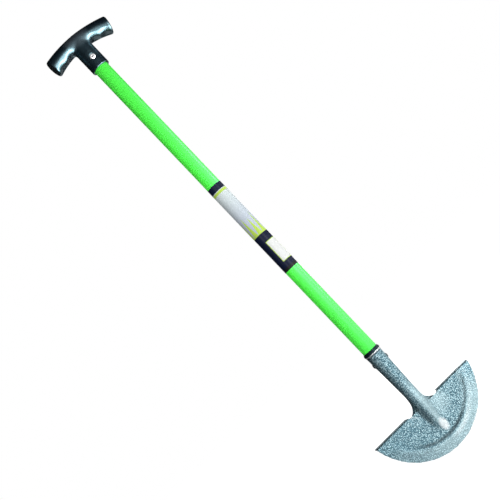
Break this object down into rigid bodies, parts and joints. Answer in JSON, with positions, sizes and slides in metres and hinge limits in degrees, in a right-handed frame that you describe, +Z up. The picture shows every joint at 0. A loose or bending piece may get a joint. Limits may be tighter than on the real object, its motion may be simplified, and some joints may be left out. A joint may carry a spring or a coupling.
{
  "type": "half moon lawn edger",
  "caption": "Hand lawn edger with a pressed steel half-moon blade, turned treads and rolled socket on a plastic-coated tube shaft with a moulded T-handle.",
  "frame": {"origin": "on the shaft's axis, level with the lowest point of the cutting edge", "axes": "+Z up the shaft to the handle, +X across the blade to the right as seen from its face, +Y from the blade's face to its back"},
  "size_m": [0.2088, 0.0348, 0.93],
  "materials": {
    "hammered_steel": "hammered paint",
    "painted_rivet": "hammered paint",
    "collar_plastic": "satin",
    "tube_steel": "mill",
    "green_coat": "gloss",
    "label_film": "printed film",
    "handle_plastic": "semi-gloss",
    "rivet_aluminium": "bright",
    "mandrel_steel": "dull"
  },
  "bodies": {
    "root": {"blade_head": "hammered_steel", "head_rivet": "painted_rivet", "collar": "collar_plastic", "shaft_tube": "tube_steel", "shaft_coat": "green_coat", "label": "label_film", "handle": "handle_plastic", "blind_rivet": "rivet_aluminium", "rivet_mandrel": "mandrel_steel"}
  },
  "joints": []
}
